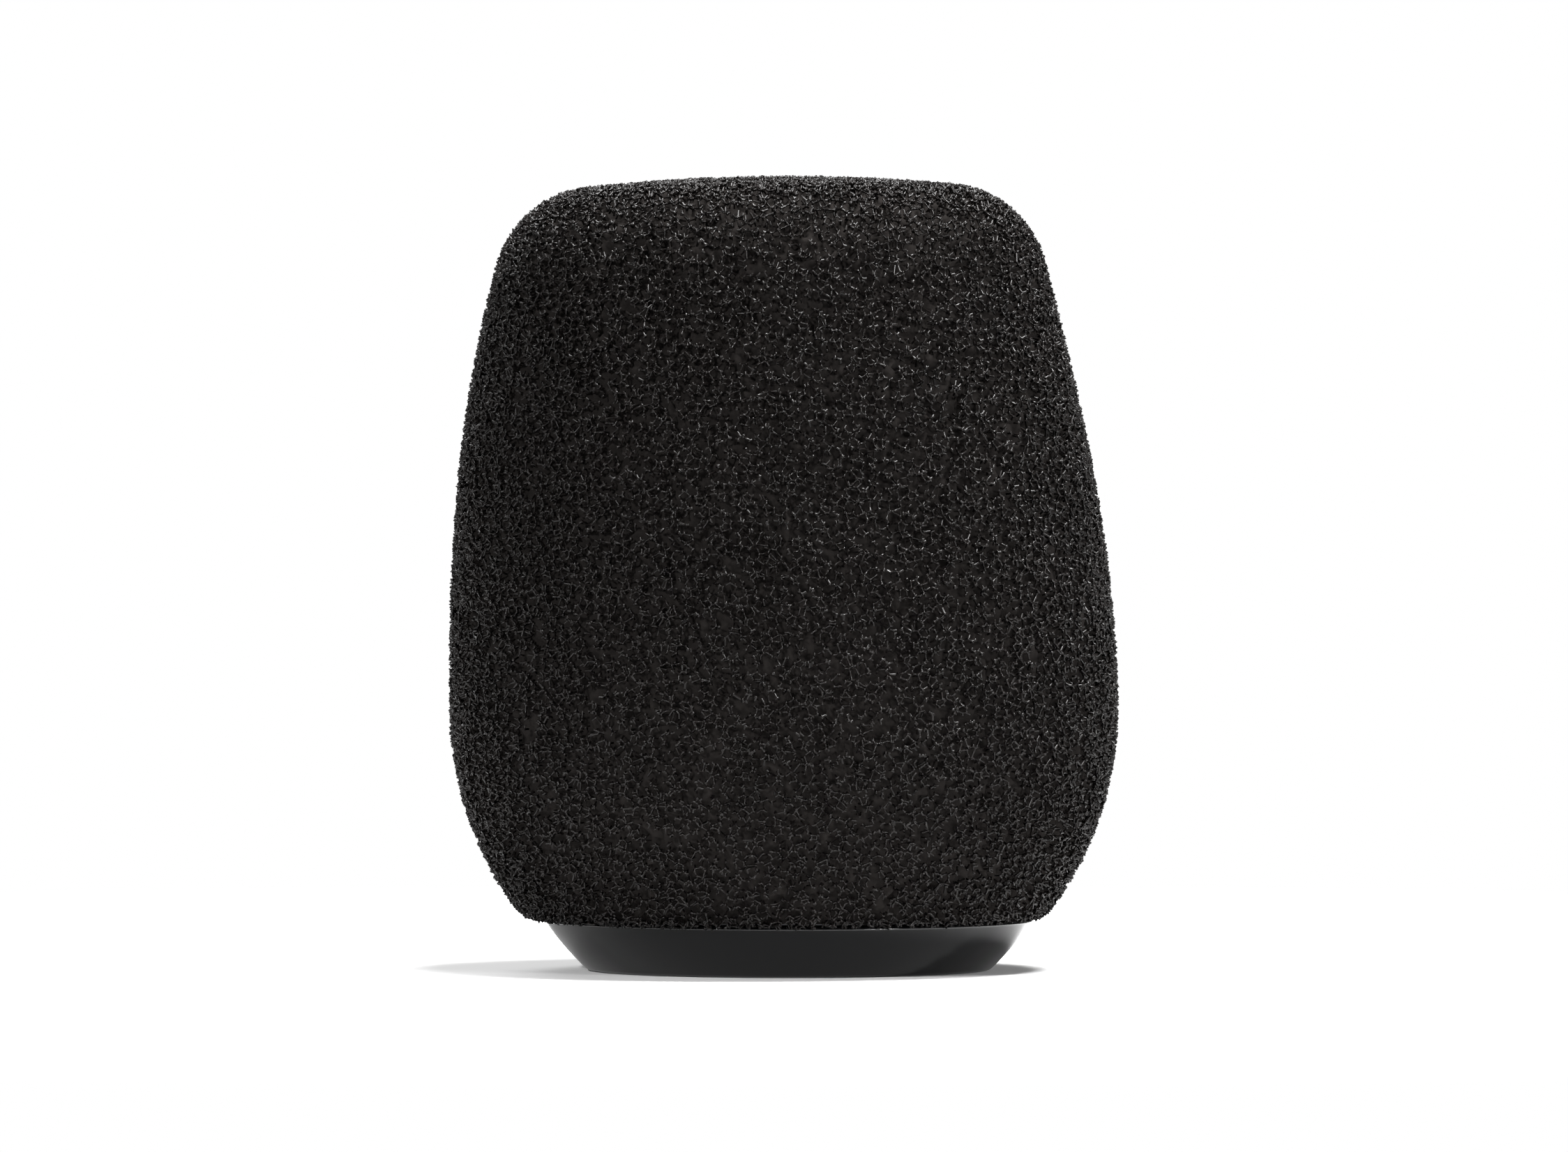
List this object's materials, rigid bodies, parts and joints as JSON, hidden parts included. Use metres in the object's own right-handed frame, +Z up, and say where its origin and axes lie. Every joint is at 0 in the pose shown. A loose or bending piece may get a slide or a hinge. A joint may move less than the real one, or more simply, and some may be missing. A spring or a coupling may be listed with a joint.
{
  "type": "foam microphone windscreen",
  "caption": "Thick open-cell foam windscreen, wider near its base, on a low conical twist collar that clamps it to a microphone's head.",
  "frame": {"origin": "centre of the collar's bottom rim; the foam leans a little to -X, so the centre of the bottom of the part's box is 0.7 mm beside it", "axes": "+Z up along the microphone's axis, from the collar to the foam's top; +X points away from the side to which the foam leans by 2 degrees, and apart from that lean the outside is round"},
  "size_m": [0.0843, 0.0842, 0.1],
  "materials": {
    "foam": "matte",
    "adhesive": "matte",
    "base_plastic": "matte",
    "collet_plastic": "satin",
    "grip_rubber": "matte",
    "screw_steel": "satin",
    "ring_plastic": "satin",
    "collar_plastic": "satin",
    "washer_plastic": "satin",
    "spring_steel": "satin"
  },
  "bodies": {
    "base": {"foam_cover": "foam", "foam_bond_film": "adhesive", "base_plate": "base_plastic", "collet_sleeve": "collet_plastic", "grip_liner": "grip_rubber", "collet_screws": "screw_steel", "friction_washer": "washer_plastic", "snap_ring": "spring_steel"},
    "collar": {"twist_collar": "collar_plastic"},
    "clamp": {"squeeze_ring": "ring_plastic"}
  },
  "joints": [
    {"name": "collar_twist", "type": "hinge", "parent": "base", "child": "collar", "pos_m": [0, 0, 0], "axis": [0, 0, 1], "range_deg": [-60, 0]},
    {"name": "clamp_travel", "type": "slide", "parent": "base", "child": "clamp", "axis": [0, 0, 1], "range_m": [-0.0015, 0]}
  ],
  "couplings": [
    {"joint": "clamp_travel", "follows": "collar_twist", "m_per_rad": 0.0014324}
  ]
}
